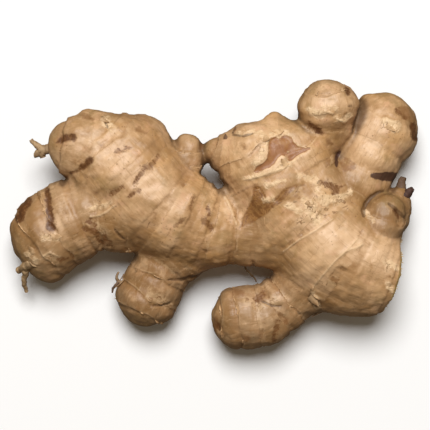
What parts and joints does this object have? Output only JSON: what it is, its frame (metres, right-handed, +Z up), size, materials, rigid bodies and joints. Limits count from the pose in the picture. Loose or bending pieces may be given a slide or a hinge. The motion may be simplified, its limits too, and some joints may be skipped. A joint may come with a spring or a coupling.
{
  "type": "ginger root",
  "caption": "Fresh ginger root, a branching rhizome with rounded fingers, ring scars and dried rootlets, lying flat.",
  "frame": {"origin": "middle of the root's box in X and Y, on the surface it lies on", "axes": "+X along the root's length towards the broken end, +Y across it towards the round finger, +Z up from the surface"},
  "size_m": [0.1682, 0.1111, 0.0374],
  "materials": {
    "ginger_skin": "satin"
  },
  "bodies": {
    "root": {"ginger_rhizome": "ginger_skin"}
  },
  "joints": []
}
